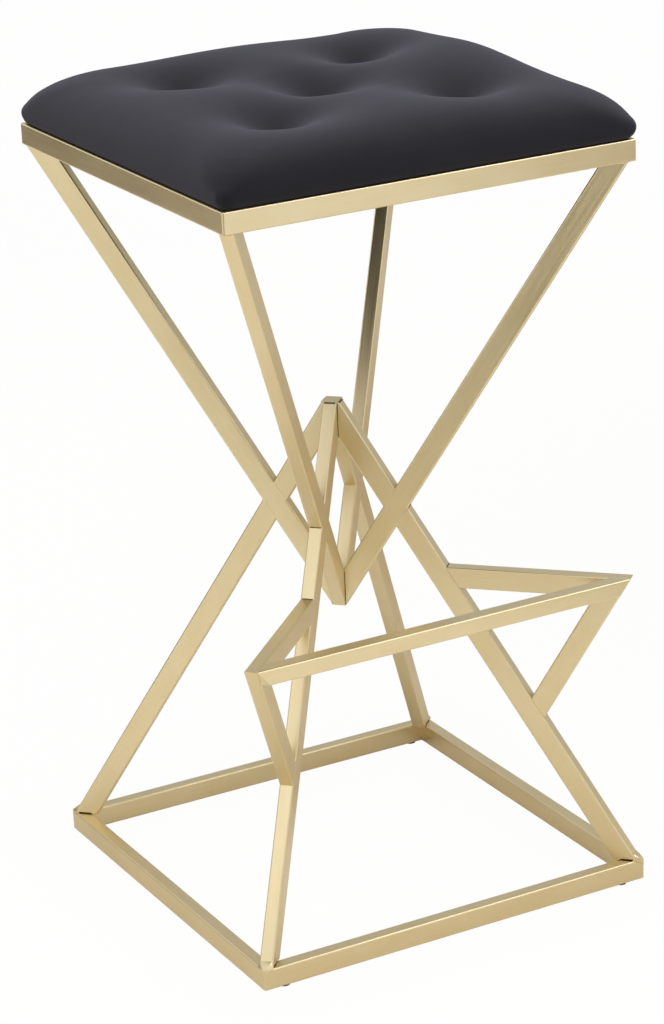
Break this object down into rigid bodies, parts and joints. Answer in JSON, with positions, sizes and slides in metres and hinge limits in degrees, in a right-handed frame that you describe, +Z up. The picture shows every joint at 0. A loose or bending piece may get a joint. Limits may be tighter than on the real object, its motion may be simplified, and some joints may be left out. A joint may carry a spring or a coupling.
{
  "type": "bar stool",
  "caption": "Backless square bar stool: tufted velvet cushion on a welded gold tube frame with crossed slanting legs, a square base ring and a front footrest.",
  "frame": {"origin": "on the floor under the middle of the seat", "axes": "+Z up, the footrest bar on the -Y side, +X to the right as seen from that side"},
  "size_m": [0.4084, 0.4084, 0.7709],
  "materials": {
    "frame_metal": "satin",
    "velvet": "matte",
    "foam": "matte",
    "plywood": "matte",
    "dust_cloth": "matte",
    "twine": "matte",
    "zinc_steel": "satin",
    "glide_plastic": "matte"
  },
  "bodies": {
    "root": {"apex_plate": "frame_metal", "apex_strut_back_left": "frame_metal", "apex_strut_back_right": "frame_metal", "apex_strut_front_left": "frame_metal", "apex_strut_front_right": "frame_metal", "base_ring_back": "frame_metal", "base_ring_front": "frame_metal", "base_ring_left": "frame_metal", "base_ring_right": "frame_metal", "dust_cover": "dust_cloth", "floor_glide_back_left": "glide_plastic", "floor_glide_back_right": "glide_plastic", "floor_glide_front_left": "glide_plastic", "floor_glide_front_right": "glide_plastic", "footrest_arm_left": "frame_metal", "footrest_arm_right": "frame_metal", "footrest_bar": "frame_metal", "footrest_strut_left": "frame_metal", "footrest_strut_right": "frame_metal", "lower_leg_back_left": "frame_metal", "lower_leg_back_right": "frame_metal", "lower_leg_front_left": "frame_metal", "lower_leg_front_right": "frame_metal", "point_plate": "frame_metal", "seat_board": "plywood", "seat_cover": "velvet", "seat_foam": "foam", "seat_ring_back": "frame_metal", "seat_ring_front": "frame_metal", "seat_ring_left": "frame_metal", "seat_ring_right": "frame_metal", "seat_screws": "zinc_steel", "seat_tab_back": "frame_metal", "seat_tab_front": "frame_metal", "seat_tab_left": "frame_metal", "seat_tab_right": "frame_metal", "staples": "zinc_steel", "tee_nuts": "zinc_steel", "tuft_ties": "twine", "upper_leg_back_left": "frame_metal", "upper_leg_back_right": "frame_metal", "upper_leg_front_left": "frame_metal", "upper_leg_front_right": "frame_metal"}
  },
  "joints": []
}
